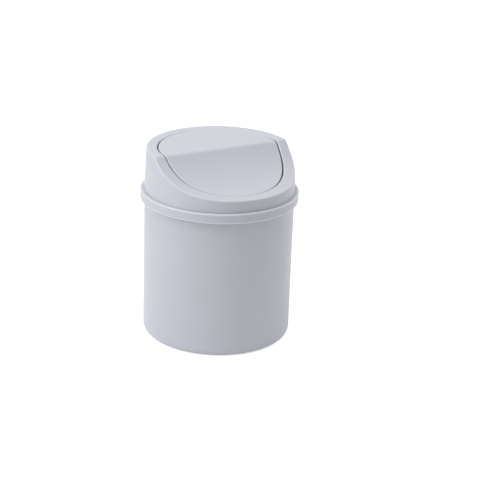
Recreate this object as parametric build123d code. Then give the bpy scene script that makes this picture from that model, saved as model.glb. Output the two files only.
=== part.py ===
"""Countertop bin with a swing lid: a round bin, a hood that drops over its mouth, and a flap that
pivots in the hood.

Millimetres, +Z up. The origin is the centre of the base on the table. The flap pivots about an
axis along X, and its low, scooped side faces -Y.
"""

from build123d import *
from math import cos, radians, sin, sqrt
import os

# Bin
bin_height = 127.0            # table to the top of the mouth
bin_mouth_radius = 63.95      # outer wall at the mouth
bin_taper = 0.35              # how much narrower the outer wall's radius is at the table
bin_wall = 1.6
bin_floor = 1.8
bin_corner_radius = 6.0       # outside, between wall and base
foot_ring_width = 4.0         # flat ring that the bin stands on
foot_ring_height = 1.5        # how far the middle of the base is raised off the table
bead_overhang = 1.2           # how far the bead round the mouth stands out from the wall
bead_height = 3.6
mouth_edge_radius = 0.5
gate_stub_radius = 1.2        # mark of the moulding gate, under the middle of the base
gate_dimple_radius = 5.0
gate_dimple_depth = 0.6

# Hood: wall, shoulder and skirt
hood_rear_rise = 36.15        # from the shoulder up to the flat rear rim
hood_front_rise = 10.35       # from the shoulder up to the rim at the very front
hood_taper = 1.4              # how much narrower the outer wall's radius is at the rear rim
hood_wall = 1.8
shoulder_width = 3.3          # flat ledge outside the hood's wall
shoulder_plate = 1.8
skirt_wall = 1.8
skirt_clearance = 0.5         # to the bead round the bin's mouth
skirt_drop = 6.2              # from the bin's mouth down to the skirt's lower edge
seat_gap = 0.05               # bin's mouth to the underside of the shoulder

# Top surface, shared by the hood's rim and the flap: flat at the rear, scooped at the front
ridge_y = -1.6                # where the flat and the scoop would meet in a sharp ridge
ridge_radius = 6.0            # rounding of the ridge
scoop_radius = 94.0

# Hood: rim and opening
rim_width = 9.15              # from the rear rim's outer edge to the opening
rim_plate = 1.8
opening_lip_wall = 1.6
opening_lip_depth = 7.0       # in front of the pivot, measured square to the top surface
ledge_reach = 3.0             # how far the rest ledge reaches in from the opening's lip
ledge_plate = 1.6
ledge_angle = 60.0            # of the opening's circle, centred on the rear
ledge_gap = 0.2               # between the ledge and the flap's lip

# Flap
flap_gap = 1.0                # between the flap and the opening, all round
flap_inset = 0.25             # how far the flap's top lies below the rim's
flap_plate = 1.8
flap_lip_wall = 1.6
front_lip_depth = 4.5         # turned-down lip in front of the pivot
rear_lip_depth = 8.5          # deeper behind the pivot, so that the flap falls shut
cross_rib_wall = 1.4          # rib under the ridge, from peg to peg
long_rib_wall = 1.2           # ribs from front to rear
long_rib_depth = 4.0
long_rib_x = 26.0
flap_sag = 0.6                # degrees that the flap hangs open at rest, its front edge low

# Pivot
pivot_ahead = 0.4             # how far in front of the ridge the axis lies
pivot_drop = 8.0              # from the flat part of the top surface down to the axis
peg_radius = 2.4
peg_proud = 0.6               # how far the peg's end stands out of the hood's ear
peg_lead = 0.6                # chamfer on the peg's end
peg_clearance = 0.1
collar_width = 1.0            # collar round the peg's root, keeps the flap central
collar_gap = 0.5
flap_ear_wall = 2.4           # round the peg
hood_ear_wall = 3.9           # round the peg's hole
snap_grip = 0.7               # how much narrower than the peg the slot's neck is
snap_mouth = 7.0              # width of the slot at the ear's lower end

# Edge roundings
rim_edge_radius = 0.8
opening_edge_radius = 1.0
flap_edge_radius = 1.0
shoulder_edge_radius = 0.5
skirt_edge_radius = 0.7

# Worked out from the sizes above
bin_foot_radius = bin_mouth_radius - bin_taper
bead_radius = bin_mouth_radius + bead_overhang
skirt_inner_radius = bead_radius + skirt_clearance
skirt_radius = skirt_inner_radius + skirt_wall
skirt_base_z = bin_height - skirt_drop
shoulder_base_z = bin_height + seat_gap
shoulder_z = shoulder_base_z + shoulder_plate
hood_shoulder_radius = skirt_radius - shoulder_width
hood_top_radius = hood_shoulder_radius - hood_taper
overall_height = shoulder_z + hood_rear_rise
front_rim_z = shoulder_z + hood_front_rise
opening_radius = hood_top_radius - rim_width
flap_radius = opening_radius - flap_gap
rear_lip_z = overall_height - rear_lip_depth
ledge_z = rear_lip_z - ledge_gap
pivot_y = ridge_y - pivot_ahead
pivot_z = overall_height - pivot_drop
hole_radius = peg_radius + peg_clearance
hood_ear_radius = hole_radius + hood_ear_wall
flap_ear_radius = peg_radius + flap_ear_wall

far = 2 * skirt_radius        # longer than anything on the part
near = 0.01                   # closer than this counts as touching
sharpest_radius = 0.5         # of the ridge, where it is followed deep inside


def hood_radius(z):
    """Outer radius of the hood's tapered wall at height z."""
    share = (z - shoulder_z) / (overall_height - shoulder_z)
    return hood_shoulder_radius - share * hood_taper


def bin_radius(z):
    """Outer radius of the bin's tapered wall at height z."""
    return bin_foot_radius + z / bin_height * bin_taper


def scoop_centre():
    """Centre (y, z) of the scoop's arc, which runs from the front of the rim up to the ridge."""
    y0, z0 = -hood_radius(front_rim_z), front_rim_z
    y1, z1 = ridge_y, overall_height
    chord = sqrt((y1 - y0) ** 2 + (z1 - z0) ** 2)
    rise = sqrt(scoop_radius**2 - (chord / 2) ** 2)
    return (y0 + y1) / 2 - rise * (z1 - z0) / chord, (z0 + z1) / 2 + rise * (y1 - y0) / chord


scoop_y, scoop_z = scoop_centre()


def below(depth):
    """Section in (y, z) of all that lies at least this depth below the top surface."""
    block = Pos(0, overall_height - depth - far / 2) * Rectangle(2 * far, far)
    section = block - Pos(scoop_y, scoop_z) * Circle(scoop_radius + depth)
    ridge = section.vertices().group_by(Axis.Y)[-1].sort_by(Axis.X)[-2]
    return fillet(ridge, max(ridge_radius - depth, sharpest_radius))


def band(top, bottom):
    """Section of the layer between two depths below the top surface."""
    return below(top) - below(bottom)


def behind_pivot(low):
    """Section of all that lies behind the pivot, above this height."""
    return Pos(pivot_y + far / 2, low + far / 2) * Rectangle(far, far)


def ear(radius):
    """Section of a round end about the pivot, with straight sides up past the top surface."""
    shank = Pos(0, far / 2) * Rectangle(2 * radius, far)
    return Pos(pivot_y, pivot_z) * (Circle(radius) + shank)


def snap_slot():
    """Section of the hole that the peg turns in, open below through a neck narrower than the peg."""
    neck = peg_radius - snap_grip / 2
    neck_z = -sqrt(hole_radius**2 - neck**2)
    throat = Polyline(
        (-neck, neck_z),
        (neck, neck_z),
        (snap_mouth / 2, -hood_ear_radius),
        (-snap_mouth / 2, -hood_ear_radius),
        close=True,
    )
    return Pos(pivot_y, pivot_z) * (Circle(hole_radius) + make_face(throat))


def across(section):
    """A (y, z) section carried the whole way across the part."""
    return extrude(Plane.YZ * section, far, both=True)


def turned(*corners):
    """Solid of revolution about the vertical axis, from (radius, height) corners."""
    outline = Polyline(*corners, close=True)
    return revolve(Plane.YZ * make_face(outline), Axis.Z)


def disc(radius, low=0.0, high=overall_height):
    """Solid cylinder about the vertical axis."""
    return turned((0, low), (radius, low), (radius, high), (0, high))


def ring(inner, outer, low=0.0, high=overall_height):
    """Round wall about the vertical axis."""
    return turned((inner, low), (outer, low), (outer, high), (inner, high))


def rear_sector(angle):
    """Everything within this angle about the vertical axis, centred on the rear."""
    side = far * sin(radians(angle / 2))
    back = far * cos(radians(angle / 2))
    return extrude(make_face(Polyline((0, 0), (side, back), (-side, back), close=True)), overall_height)


def edges_at(solid, radius, height):
    """Full-circle edges of this radius at this height."""
    circles = solid.edges().filter_by(GeomType.CIRCLE)
    return circles.filter_by(
        lambda edge: abs(edge.radius - radius) < near and abs(edge.arc_center.Z - height) < near
    )


def top_outline(solid, wall_radius, depth=0.0):
    """Edges of a round wall, whose radius depends on the height, at this depth below the top surface."""
    surface = (Plane.YZ * below(depth)).wires()[0]

    def on_outline(edge):
        point = edge @ 0.5
        off_wall = abs(sqrt(point.X**2 + point.Y**2) - wall_radius(point.Z))
        return off_wall < near and surface.distance_to(Vertex(0, point.Y, point.Z)) < near

    return solid.edges().filter_by(on_outline)


def make_bin():
    """Tapered bucket with a rounded base, a foot ring and a beaded mouth."""
    bead_z = bin_height - bead_height
    outside = turned(
        (0, 0),
        (bin_foot_radius, 0),
        (bin_radius(bead_z), bead_z),
        (bead_radius, bead_z + bead_overhang),
        (bead_radius, bin_height),
        (0, bin_height),
    )
    outside = fillet(edges_at(outside, bin_foot_radius, 0), bin_corner_radius)
    outside = fillet(edges_at(outside, bead_radius, bin_height), mouth_edge_radius)

    floor_z = foot_ring_height + bin_floor
    floor_radius = bin_radius(floor_z) - bin_wall
    inside = turned(
        (0, floor_z),
        (floor_radius, floor_z),
        (bin_mouth_radius - bin_wall, bin_height),
        (0, bin_height),
    )
    inside = fillet(edges_at(inside, floor_radius, floor_z), bin_corner_radius - bin_wall)

    foot_radius = bin_foot_radius - bin_corner_radius - foot_ring_width
    hollow = turned(
        (0, 0),
        (foot_radius, 0),
        (foot_radius - foot_ring_height, foot_ring_height),
        (0, foot_ring_height),
    )
    dimple = ring(gate_stub_radius, gate_dimple_radius, 0, foot_ring_height + gate_dimple_depth)
    return outside - inside - hollow - dimple


def make_hood():
    """Wall and skirt, a rim that follows the top surface, and the opening's lip with its ears."""
    outside = turned(
        (0, skirt_base_z),
        (skirt_radius, skirt_base_z),
        (skirt_radius, shoulder_z),
        (hood_shoulder_radius, shoulder_z),
        (hood_top_radius, overall_height),
        (0, overall_height),
    )
    outside &= across(below(0))
    outside = fillet(top_outline(outside, hood_radius), rim_edge_radius)
    outside = fillet(edges_at(outside, skirt_radius, shoulder_z), shoulder_edge_radius)
    outside = fillet(edges_at(outside, skirt_radius, skirt_base_z), skirt_edge_radius)

    inside = turned(
        (0, skirt_base_z),
        (skirt_inner_radius, skirt_base_z),
        (skirt_inner_radius, shoulder_base_z),
        (hood_shoulder_radius - hood_wall, shoulder_base_z),
        (hood_top_radius - hood_wall, overall_height),
        (0, overall_height),
    )
    inside &= across(below(rim_plate))

    lip_section = band(rim_plate / 2, opening_lip_depth)
    lip_section += below(rim_plate / 2) & behind_pivot(ledge_z - ledge_plate)
    lip_section += ear(hood_ear_radius) & below(rim_plate / 2)
    lip_section -= snap_slot()
    inside -= ring(opening_radius, opening_radius + opening_lip_wall) & across(lip_section)

    ledge = ring(
        opening_radius - ledge_reach,
        opening_radius + opening_lip_wall / 2,
        ledge_z - ledge_plate,
        ledge_z,
    )
    hood = outside - inside - disc(opening_radius)
    hood = fillet(top_outline(hood, lambda z: opening_radius), opening_edge_radius)
    return hood + (ledge & rear_sector(ledge_angle))


def make_flap():
    """Round plate bent over the ridge, with its lip, ribs, ears and pegs."""
    section = band(flap_inset, front_lip_depth)
    section += below(flap_inset) & behind_pivot(rear_lip_z)
    section += ear(flap_ear_radius) & below(flap_inset)
    flap = disc(flap_radius) & across(section)
    flap = fillet(top_outline(flap, lambda z: flap_radius, flap_inset), flap_edge_radius)

    underside = flap_inset + flap_plate
    flap -= disc(flap_radius - flap_lip_wall) & across(below(underside))

    rib_reach = disc(flap_radius - flap_lip_wall / 2)
    cross_rib = Pos(0, pivot_y, pivot_z - flap_ear_radius + far / 2) * Box(far, cross_rib_wall, far)
    flap += rib_reach & across(below(underside - flap_plate / 2)) & cross_rib
    for x in (-long_rib_x, long_rib_x):
        long_rib = Pos(x, 0, 0) * Box(long_rib_wall, far, 2 * far)
        flap += rib_reach & across(band(underside - flap_plate / 2, long_rib_depth)) & long_rib

    right_peg = peg()
    flap += right_peg + mirror(right_peg, Plane.YZ)
    return flap.rotate(Axis((0, pivot_y, pivot_z), (1, 0, 0)), flap_sag)


def peg():
    """The right-hand pivot peg with the collar round its root."""
    root = Plane((flap_radius - flap_lip_wall, pivot_y, pivot_z), x_dir=(0, 1, 0), z_dir=(1, 0, 0))
    shaft = extrude(root * Circle(peg_radius), flap_lip_wall + flap_gap + opening_lip_wall + peg_proud)
    shaft = chamfer(shaft.faces().sort_by(Axis.X)[-1].edges(), peg_lead)
    collar = extrude(root * Circle(peg_radius + collar_width), flap_lip_wall + flap_gap - collar_gap)
    return shaft + collar


os.makedirs("parts", exist_ok=True)
export_step(make_bin(), "parts/bin_body.step")
export_step(make_hood(), "parts/lid_hood.step")
export_step(make_flap(), "parts/swing_flap.step")
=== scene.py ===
import math

import bmesh
import bpy
from mathutils import Matrix, Vector


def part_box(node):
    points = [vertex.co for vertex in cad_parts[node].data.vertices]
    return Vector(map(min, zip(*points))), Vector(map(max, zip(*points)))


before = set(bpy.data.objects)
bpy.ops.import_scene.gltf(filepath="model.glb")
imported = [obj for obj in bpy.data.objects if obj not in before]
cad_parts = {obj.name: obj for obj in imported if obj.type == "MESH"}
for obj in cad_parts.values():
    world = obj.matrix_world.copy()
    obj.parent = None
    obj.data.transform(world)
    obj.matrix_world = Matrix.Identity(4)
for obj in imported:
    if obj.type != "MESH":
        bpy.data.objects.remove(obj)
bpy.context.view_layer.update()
scene = bpy.context.scene
print("loaded:", ", ".join(sorted(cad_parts)))


def direction(azimuth, elevation):  # degrees, azimuth 0 is the front and grows towards +X
    a, e = math.radians(azimuth), math.radians(elevation)
    return Vector((math.sin(a) * math.cos(e), -math.cos(a) * math.cos(e), math.sin(e)))


# Camera
cameraSettings = {
    "target": Vector((0, 0, 0.085)),
    "distance": 1.4,
    "azimuth": -28.81,
    "elevation": 20.76,
    "roll": 1.673,  # degrees
    "sensorWidth": 36,  # mm
    "lens": 117.23,  # mm
    "shiftX": 0.0636,
    "shiftY": -0.0278,
    "nearest": 0.05,
    "furthest": 50,
}


def addCamera(settings):
    data = bpy.data.cameras.new("camera")
    data.sensor_width = settings["sensorWidth"]
    data.lens = settings["lens"]
    data.shift_x = settings["shiftX"]
    data.shift_y = settings["shiftY"]
    data.clip_start = settings["nearest"]
    data.clip_end = settings["furthest"]
    camera = bpy.data.objects.new("camera", data)
    scene.collection.objects.link(camera)
    back = direction(settings["azimuth"], settings["elevation"])
    look = (-back).to_track_quat("-Z", "Y").to_matrix()
    roll = Matrix.Rotation(math.radians(settings["roll"]), 3, "Z")
    camera.rotation_mode = "QUATERNION"
    camera.rotation_quaternion = (look @ roll).to_quaternion()
    camera.location = settings["target"] + back * settings["distance"]
    scene.camera = camera


addCamera(cameraSettings)
print("camera placed")


# Node helpers: each adds one node to a tree and gives back its output
def remap(tree, value, fromMin=0, fromMax=1, toMin=0, toMax=1):
    node = tree.nodes.new("ShaderNodeMapRange")
    node.inputs["From Min"].default_value = fromMin
    node.inputs["From Max"].default_value = fromMax
    node.inputs["To Min"].default_value = toMin
    node.inputs["To Max"].default_value = toMax
    tree.links.new(value, node.inputs["Value"])
    return node.outputs["Result"]


def calculate(tree, operation, *values):  # each value is an output or a plain number
    node = tree.nodes.new("ShaderNodeMath")
    node.operation = operation
    for socket, value in zip(node.inputs, values):
        if isinstance(value, bpy.types.NodeSocket):
            tree.links.new(value, socket)
        else:
            socket.default_value = value
    return node.outputs["Value"]


def noise(tree, place, scale, detail):
    node = tree.nodes.new("ShaderNodeTexNoise")
    node.inputs["Scale"].default_value = scale
    node.inputs["Detail"].default_value = detail
    tree.links.new(place, node.inputs["Vector"])
    return node.outputs["Fac"]


def openness(tree, distance, inside):  # 1 in the open, less where a surface is within the distance
    node = tree.nodes.new("ShaderNodeAmbientOcclusion")
    node.samples = 16
    node.inside = inside
    node.only_local = inside
    node.inputs["Distance"].default_value = distance
    return node.outputs["AO"]


# Moulded plastic, the same fine matte grey for all three pieces
plasticSettings = {
    "color": (0.62, 0.638, 0.703),
    "roughness": 0.36,
    "refraction": 1.49,
    "cloudScale": 22,  # per metre, slow drift of shade and gloss in the moulding
    "cloudDetail": 3,
    "cloudReach": (0.3, 0.7),  # noise levels that give the least and the most
    "cloudShade": 0.012,
    "cloudGloss": 0.05,
    "grainScale": 2600,  # per metre, the mould's fine spark-eroded grain
    "grainDetail": 2,
    "grainDepth": 0.000012,  # metres
    "highlightEdgeWidth": 0.0015,  # metres in from an outer edge, over which a highlight is painted pale
    "highlightEdgeReach": (0.95, 0.55),  # openness where the painted highlight starts and where it is full
    "highlightEdgeColor": (0.92, 0.925, 0.94),
    "highlightEdgeAmount": 1,  # how far the edge goes to that colour
    "edgePolish": 0.1,
    "paintedShadeWidth": 0.004,  # metres, the reach of the painted shade in grooves, corners and gaps between parts
    "paintedShadeReach": (0, 0.8),  # openness where the painted shade is full and where it ends
    "paintedShadeAmount": 0.5,
    "lowEdgeHighlightBase": 0.0,  # metres, the level of the piece's lowest edge, along which a pale line is painted as a highlight
    "lowEdgeHighlightHeight": 0.0,  # metres that this painted highlight reaches up from there
    "lowEdgeHighlightSolid": 0.6,  # share of that height that is fully highlighted
}


def mouldedPlastic(name, settings):
    material = bpy.data.materials.new(name)
    material.use_nodes = True
    tree = material.node_tree
    nodes, links = tree.nodes, tree.links
    shader = nodes["Principled BSDF"]
    shader.inputs["IOR"].default_value = settings["refraction"]
    place = nodes.new("ShaderNodeTexCoord").outputs["Object"]

    # Colour: a cloudy tint, darkened by painted shade in grooves, corners and gaps between parts
    cloud = noise(tree, place, settings["cloudScale"], settings["cloudDetail"])
    drift = settings["cloudShade"]
    shade = remap(tree, cloud, *settings["cloudReach"], 1 - drift, 1 + drift)
    # painted shade: the colour is darkened where nearby surfaces, of this piece or of others, would
    # shade it
    outward = openness(tree, settings["paintedShadeWidth"], inside=False)
    paintedGrooveShade = remap(tree, outward, *settings["paintedShadeReach"], 1 - settings["paintedShadeAmount"], 1)
    tint = nodes.new("ShaderNodeVectorMath")
    tint.operation = "SCALE"
    tint.inputs[0].default_value = settings["color"]
    links.new(calculate(tree, "MULTIPLY", shade, paintedGrooveShade), tint.inputs["Scale"])

    # Painted highlights: pale outer edges, and a pale band up from the lowest edge where that is set
    inward = openness(tree, settings["highlightEdgeWidth"], inside=True)
    edge = remap(tree, inward, *settings["highlightEdgeReach"], 0, settings["highlightEdgeAmount"])
    paintedHighlight = edge
    # a painted highlight along the piece's lowest edge, the hood's skirt
    if settings["lowEdgeHighlightHeight"]:
        split = nodes.new("ShaderNodeSeparateXYZ")
        links.new(place, split.inputs["Vector"])
        base, height = settings["lowEdgeHighlightBase"], settings["lowEdgeHighlightHeight"]
        lowEdgeHighlight = remap(tree, split.outputs["Z"], base + height, base + height * settings["lowEdgeHighlightSolid"])
        paintedHighlight = calculate(tree, "MAXIMUM", edge, lowEdgeHighlight)
    # the painted highlights mix the colour toward a near-white edge colour
    pale = nodes.new("ShaderNodeMix")
    pale.data_type = "RGBA"  # its factor is socket 0, its colours are 6 and 7, and its result is 2
    pale.inputs[7].default_value = (*settings["highlightEdgeColor"], 1)
    links.new(paintedHighlight, pale.inputs[0])
    links.new(tint.outputs["Vector"], pale.inputs[6])
    links.new(pale.outputs[2], shader.inputs["Base Color"])

    # Gloss: drifts with the cloud, shinier on the edges
    mid, swing = settings["roughness"], settings["cloudGloss"]
    gloss = remap(tree, cloud, *settings["cloudReach"], mid - swing, mid + swing)
    polished = calculate(tree, "MULTIPLY_ADD", edge, -settings["edgePolish"], gloss)
    links.new(polished, shader.inputs["Roughness"])

    # Fine grain
    bump = nodes.new("ShaderNodeBump")
    bump.inputs["Distance"].default_value = settings["grainDepth"]
    links.new(noise(tree, place, settings["grainScale"], settings["grainDetail"]), bump.inputs["Height"])
    links.new(bump.outputs["Normal"], shader.inputs["Normal"])
    return material


# Painted shade is off on the bin and weak on the flap; the flap's painted edge highlight is half
# strength, and the hood also gets a painted highlight along its lower edge
binSettings = {**plasticSettings, "paintedShadeAmount": 0}
hoodSettings = {**plasticSettings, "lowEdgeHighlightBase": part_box("lid_hood")[0][2], "lowEdgeHighlightHeight": 0.001}
flapSettings = {**plasticSettings, "highlightEdgeAmount": 0.5, "paintedShadeAmount": 0.1}
finishes = {
    "bin_body": mouldedPlastic("binPlastic", binSettings),
    "lid_hood": mouldedPlastic("hoodPlastic", hoodSettings),
    "swing_flap": mouldedPlastic("flapPlastic", flapSettings),
}
for node, finish in finishes.items():
    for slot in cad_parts[node].material_slots:
        slot.material = finish
print("plastic on", ", ".join(finishes))

# World: soft even light on the object, plain white behind it
worldSettings = {"light": 0.355, "white": 1.0}


def addWorld(settings):
    world = bpy.data.worlds.new("studio")
    scene.world = world
    world.use_nodes = True
    tree = world.node_tree
    path = tree.nodes.new("ShaderNodeLightPath")
    seen = calculate(tree, "MAXIMUM", path.outputs["Is Camera Ray"], path.outputs["Is Glossy Ray"])
    background = tree.nodes["Background"]
    background.inputs["Color"].default_value = (1, 1, 1, 1)
    level = remap(tree, seen, 0, 1, settings["light"], settings["white"])
    tree.links.new(level, background.inputs["Strength"])


addWorld(worldSettings)

# Floor: pale paper that keeps the object's shadow
floorSettings = {
    "halfWidth": 6.0,
    "drop": 0.0001,  # metres below the object's foot, so that the two don't share a plane
    "color": (0.9, 0.9, 0.9),
    "roughness": 0.8,
    "glow": 0.665,  # what the camera sees on top of the light that falls on it, up to white
    "sheen": 0.32,  # what the plastic mirrors
}


def addFloor(settings):
    mesh = bpy.data.meshes.new("floor")
    shape = bmesh.new()
    bmesh.ops.create_grid(shape, x_segments=1, y_segments=1, size=settings["halfWidth"])
    bmesh.ops.translate(shape, vec=(0, 0, -settings["drop"]), verts=shape.verts)
    shape.to_mesh(mesh)
    shape.free()
    floor = bpy.data.objects.new("floor", mesh)
    scene.collection.objects.link(floor)
    material = bpy.data.materials.new("floorPaper")
    material.use_nodes = True
    tree = material.node_tree
    shader = tree.nodes["Principled BSDF"]
    shader.inputs["Base Color"].default_value = (*settings["color"], 1)
    shader.inputs["Roughness"].default_value = settings["roughness"]
    shader.inputs["Specular IOR Level"].default_value = 0
    shader.inputs["Emission Color"].default_value = (1, 1, 1, 1)
    path = tree.nodes.new("ShaderNodeLightPath")
    mirrored = calculate(tree, "MULTIPLY", path.outputs["Is Glossy Ray"], settings["sheen"])
    glow = calculate(tree, "MULTIPLY_ADD", path.outputs["Is Camera Ray"], settings["glow"], mirrored)
    tree.links.new(glow, shader.inputs["Emission Strength"])
    mesh.materials.append(material)


addFloor(floorSettings)
print("floor and world made")

# Lights: round soft boxes aimed at the object, azimuths as seen from the camera
softBox = {"width": 0.7, "distance": 1.2}
lightSettings = {
    "top": {"azimuth": -60, "elevation": 70, "power": 2.9},
    "front": {"azimuth": 0, "elevation": 70, "power": 2.2},
    "side": {"azimuth": -75, "elevation": 30, "power": 4.9},
    "rim": {"azimuth": 120, "elevation": 15, "power": 2.9},
    "back": {"azimuth": 150, "elevation": 45, "power": 0.7},
}


def addLight(name, azimuth, elevation, power):
    away = direction(cameraSettings["azimuth"] + azimuth, elevation)
    data = bpy.data.lights.new(name, "AREA")
    data.shape = "DISK"
    data.size = softBox["width"]
    data.energy = power
    light = bpy.data.objects.new(name, data)
    scene.collection.objects.link(light)
    light.location = cameraSettings["target"] + away * softBox["distance"]
    light.rotation_mode = "QUATERNION"
    light.rotation_quaternion = (-away).to_track_quat("-Z", "Y")
    light.visible_camera = False


for name, settings in lightSettings.items():
    addLight(name, **settings)
scene.view_settings.view_transform = "Standard"
print("lights on:", ", ".join(lightSettings))
